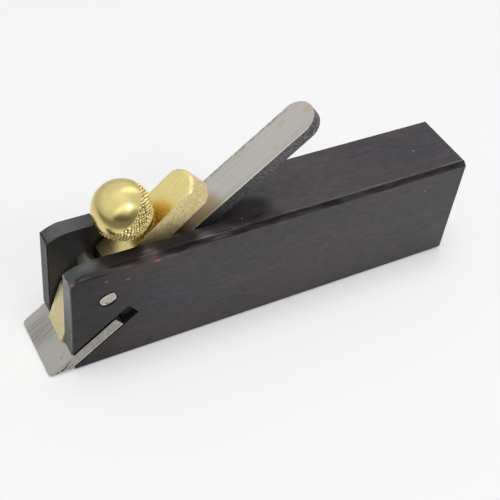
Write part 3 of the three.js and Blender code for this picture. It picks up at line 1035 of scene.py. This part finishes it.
def ball_brass(name, colour, rough, knurled):
    """Polished brass of the ball: faint turning rings on the dome, grime in the knurl's grooves."""
    material, tree, shader = new_material(name)
    place = where(tree, SCREW)
    cloud = noise(tree, place, *BALL_CLOUD)
    shade = mixed(tree, ranged(tree, cloud, *CLOUD_SHOWN), colour, scaled(colour, BALL_SHADE))
    if knurled:
        by_foot = ranged(tree, axes_of(tree, place)["z"], *FOOT_REACH)
        shade = coated(tree, shade, FOOT_BROWN, by_foot)
        groove = ranged(tree, measured(tree, "LENGTH", place), *GROOVE_REACH)
        shade = coated(tree, shade, KNURL_GRIME, groove, noise(tree, place, *GRIME_SPLIT))
    put(tree, shader.inputs["Base Color"], shade)
    shader.inputs["Metallic"].default_value = 1.0
    roughened(tree, shader, cloud, rough, BALL_SPREAD)
    bumped(tree, shader, noise(tree, place, *BALL_RINGS), depth=0.004 * MM, strength=0.35)
    return material


# Pieces
def build_body():
    """Ebony block."""
    whole = Matrix.Identity(4)
    bm = softened("body", whole, WOOD_EASE, WOOD_BROAD_EASE, on_chamfer, kept_sharp)
    finished("ebony_block", bm, whole, [ebony()], "body", "body")


def build_pin():
    """Cross pin with eased ends, turned about the Y axis."""
    half = (PIN_HIGH.y - PIN_LOW.y) / 2
    rows = [(0, -half), (PIN_RADIUS - PIN_EASE, -half)]
    rows += [(PIN_RADIUS, -half + PIN_EASE), (PIN_RADIUS, half - PIN_EASE)]
    rows += [(PIN_RADIUS - PIN_EASE, half), (0, half)]
    bm = turned(rows, PIN_COLUMNS)
    finished("pin_rod", bm, PIN, [pin_steel()], "body", "cross_pin")


def build_iron():
    """Iron: ground faces, bright sides on the wide end and dark scale on the shank's edges."""
    bm = softened("iron", BED, STEEL_EASE)
    finishes = [blade_steel(), side_steel(), scale_steel()]
    for face in bm.faces:
        if abs(face.normal.z) < IRON_SIDE_LEAN:
            face.material_index = 2 if face.calc_center_median().x > SCALE_START else 1
    finished("iron_blade", bm, BED, finishes, "iron", "iron")


def build_cap():
    """Lever cap: brushed top, speckled flanks and tail, and a matte nose."""
    bm = softened("lever_cap", CAP, BRASS_EASE)
    finishes = [
        brass(
            "cap_top",
            colour=(0.87, 0.74, 0.31),
            rough=0.27,
            scratches=(300, 1500),
            depth=0.004 * MM,
            grit=0.1,
            contrast=0.6,
            # The cap's orange spot by the ball's foot is a painted reflection of the ball
            marks_and_painted_light=CAP_PAINTED_REFLECTION,
        ),
        brass(
            "cap_flank",
            colour=(1.0, 0.805, 0.42),
            rough=0.4,
            scratches=(1400, 1400),
            depth=0.022 * MM,
            grit=1.2,
            speckle=0.6,
            metallic=0.65,
        ),
        brass(
            "cap_nose",
            colour=(0.75, 0.65, 0.405),
            rough=0.5,
            scratches=(500, 2200),
            depth=0.03 * MM,
            grit=1.0,
            speckle=0.25,
        ),
    ]
    for face in bm.faces:
        normal = face.normal
        if abs(normal.y) > FLANK_LEAN or normal.x > FLANK_LEAN:
            face.material_index = 1
        elif normal.x < -NOSE_LEAN and normal.z > NOSE_LEAN and face.calc_center_median().x < NOSE_START:
            face.material_index = 2
    finished("cap_bar", bm, CAP, finishes, "lever_cap", "lever_cap")


def build_ball():
    """Ball head with its diamond knurl in the mesh."""
    bm = turned(ball_rows(), KNURL_COUNT * KNURL_DIVISIONS)
    finishes = [
        ball_brass("ball_dome", colour=(0.79, 0.67, 0.27), rough=0.21, knurled=False),
        ball_brass("ball_knurl", colour=(0.98, 0.82, 0.37), rough=0.36, knurled=True),
    ]
    for face in bm.faces:
        corners = [corner.co for corner in face.verts]
        on_dome = all(abs(corner.length - BALL_RADIUS) < DOME_MARGIN for corner in corners)
        face.material_index = 0 if on_dome and max(corner.z for corner in corners) > 0 else 1
    finished("ball_head", bm, SCREW, finishes, "head", "thumbscrew_head")


def build_stud():
    """Threaded stud, as long as its solid."""
    corners = [SCREW.inverted() @ v.co for v in frame["nodes"]["thumbscrew_stud"].data.vertices]
    low = min(corner.z for corner in corners)
    high = max(corner.z for corner in corners)
    place = SCREW @ Matrix.Translation((0, 0, low))
    bm = turned(stud_rows(high - low), STUD_COLUMNS)
    finished("screw_stud", bm, place, [stud_steel()], "stud", "thumbscrew_stud")


# Stage
def build_floor():
    """A plain pale floor just under the sole. It glows a little, so that its shadow stays faint, and
    polished metal shows it darker towards the dark side of the room, where the light falls off."""
    mesh = bpy.data.meshes.new("floor")
    corners = [(-1, -1), (1, -1), (1, 1), (-1, 1)]
    corners = [(x * FLOOR_HALF, y * FLOOR_HALF, -FLOOR_DEPTH) for x, y in corners]
    mesh.from_pydata(corners, [], [(0, 1, 2, 3)])
    material, tree, shader = new_material("floor")
    spot = where(tree)
    darkward = measured(tree, "DOT_PRODUCT", spot, DARK_SIDE)
    away = measured(tree, "DISTANCE", spot, BALL_CENTRE.xy.to_3d())
    glossy = tree.nodes.new("ShaderNodeLightPath").outputs["Is Glossy Ray"]
    dark = times(tree, ranged(tree, darkward, *SHOWN_REACH), SHOWN_LOSS)
    faded = ranged(tree, away, *FADE_REACH, 0, FADE_LOSS)
    lost = times(tree, maths(tree, "MAXIMUM", dark, faded), glossy)
    put(tree, shader.inputs["Base Color"], mixed(tree, lost, FLOOR_LIT, (0, 0, 0)))
    shader.inputs["Roughness"].default_value = FLOOR_ROUGHNESS
    shader.inputs["Specular IOR Level"].default_value = 0.0
    shader.inputs["Emission Color"].default_value = (*FLOOR_GLOW, 1)
    put(tree, shader.inputs["Emission Strength"], maths(tree, "SUBTRACT", 1.0, lost))
    mesh.materials.append(material)
    floor = added("floor", mesh)


def build_world():
    """A soft white room: a fill that comes mostly from overhead, and for polished metal the broad
    lights and the dark side behind the camera."""
    world = bpy.data.worlds.new("studio")
    bpy.context.scene.world = world
    world.use_nodes = True
    tree = world.node_tree
    tree.nodes.clear()
    output = tree.nodes.new("ShaderNodeOutputWorld")
    background = tree.nodes.new("ShaderNodeBackground")
    tree.links.new(background.outputs["Background"], output.inputs["Surface"])
    background.inputs["Color"].default_value = (1, 1, 1, 1)
    ray = tree.nodes.new("ShaderNodeLightPath").outputs
    camera, glossy = ray["Is Camera Ray"], ray["Is Glossy Ray"]
    direction = tree.nodes.new("ShaderNodeTexCoord").outputs["Generated"]
    height = axes_of(tree, direction)["z"]
    light = ranged(tree, height, *ROOM_LIGHT)
    for centre, reach, gain in ROOM_GLOWS:
        light = maths(tree, "ADD", light, times(tree, near(tree, direction, centre, reach), gain))
    for centre, reach, share in ROOM_SHADES:
        kept = maths(tree, "SUBTRACT", 1.0, times(tree, near(tree, direction, centre, reach), share))
        light = maths(tree, "MULTIPLY", light, kept)
    shining = times(tree, glossy, light)
    plain = maths(tree, "SUBTRACT", 1.0, maths(tree, "MAXIMUM", glossy, camera))
    filling = times(tree, plain, added_up(tree, height, [WIDE_FILL, OVERHEAD_FILL]))
    strength = maths(tree, "ADD", maths(tree, "ADD", shining, filling), times(tree, camera, BACKDROP))
    put(tree, background.inputs["Strength"], strength)


def build_key():
    """A square soft lamp that looks at the ball head."""
    data = bpy.data.lights.new("key", "AREA")
    data.shape = "SQUARE"
    data.size = KEY_SIZE
    data.energy = KEY_WATTS
    lamp = added("key", data)
    aim = KEY_DIRECTION.normalized()
    lamp.location = BALL_CENTRE + aim * KEY_DISTANCE
    lamp.rotation_mode = "QUATERNION"
    lamp.rotation_quaternion = aim.to_track_quat("Z", "Y")


def build_camera():
    """The photograph's camera."""
    level = Vector((math.cos(VIEW_AZIMUTH), math.sin(VIEW_AZIMUTH), 0))
    flat = math.cos(VIEW_ELEVATION)
    rise = math.sin(VIEW_ELEVATION)
    back = Vector((math.sin(VIEW_AZIMUTH) * flat, -math.cos(VIEW_AZIMUTH) * flat, rise))
    right = level * math.cos(VIEW_ROLL) + back.cross(level) * math.sin(VIEW_ROLL)
    data = bpy.data.cameras.new("camera")
    data.sensor_fit = "HORIZONTAL"
    data.sensor_width = SENSOR
    data.lens = LENS
    data.clip_start = CLIP_START
    data.clip_end = CLIP_END
    camera = added("camera", data)
    camera.matrix_world = placed(right, back, CAMERA_PLACE)
    bpy.context.scene.camera = camera


build_body()
build_pin()
build_iron()
build_cap()
build_ball()
build_stud()
build_floor()
build_world()
build_key()
build_camera()
bpy.context.scene.view_settings.view_transform = "Standard"
